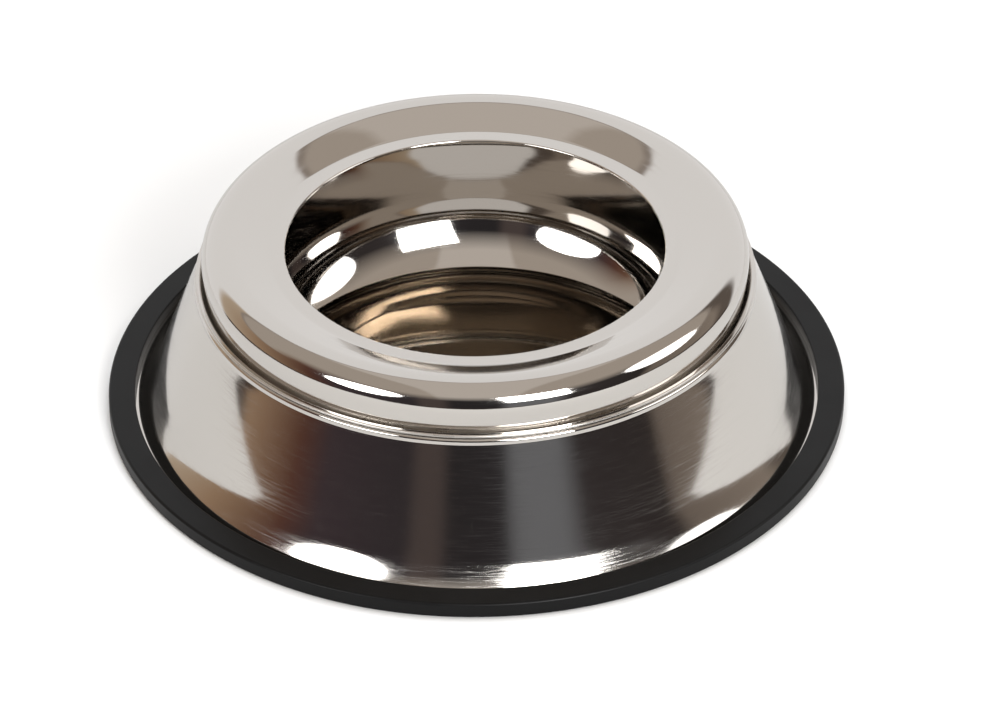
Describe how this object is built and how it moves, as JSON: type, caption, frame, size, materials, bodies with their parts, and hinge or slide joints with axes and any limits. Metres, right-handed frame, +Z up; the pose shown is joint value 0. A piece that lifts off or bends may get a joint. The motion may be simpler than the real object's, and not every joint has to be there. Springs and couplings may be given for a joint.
{
  "type": "dog bowl",
  "caption": "Stainless steel non-tip dog bowl: round basin in a flared skirt, a lift-off dished splash ring on the rim and a black rubber non-skid ring on the foot.",
  "frame": {"origin": "centre of the bowl on the plane that its rubber ring stands on", "axes": "+Z up along the bowl's axis; the bowl is round, and -Y faces the viewer of the picture"},
  "size_m": [0.2506, 0.2506, 0.0656],
  "materials": {
    "polished_stainless": "mirror-polished pressed stainless steel sheet",
    "black_rubber": "moulded black rubber, satin"
  },
  "bodies": {
    "bowl": {"bowl_shell": "polished_stainless", "rubber_base_ring": "black_rubber"},
    "ring": {"splash_ring": "polished_stainless"}
  },
  "joints": [
    {"name": "ring_lift", "type": "slide", "parent": "bowl", "child": "ring", "axis": [0, 0, 1], "range_m": [0, 0.06]}
  ]
}
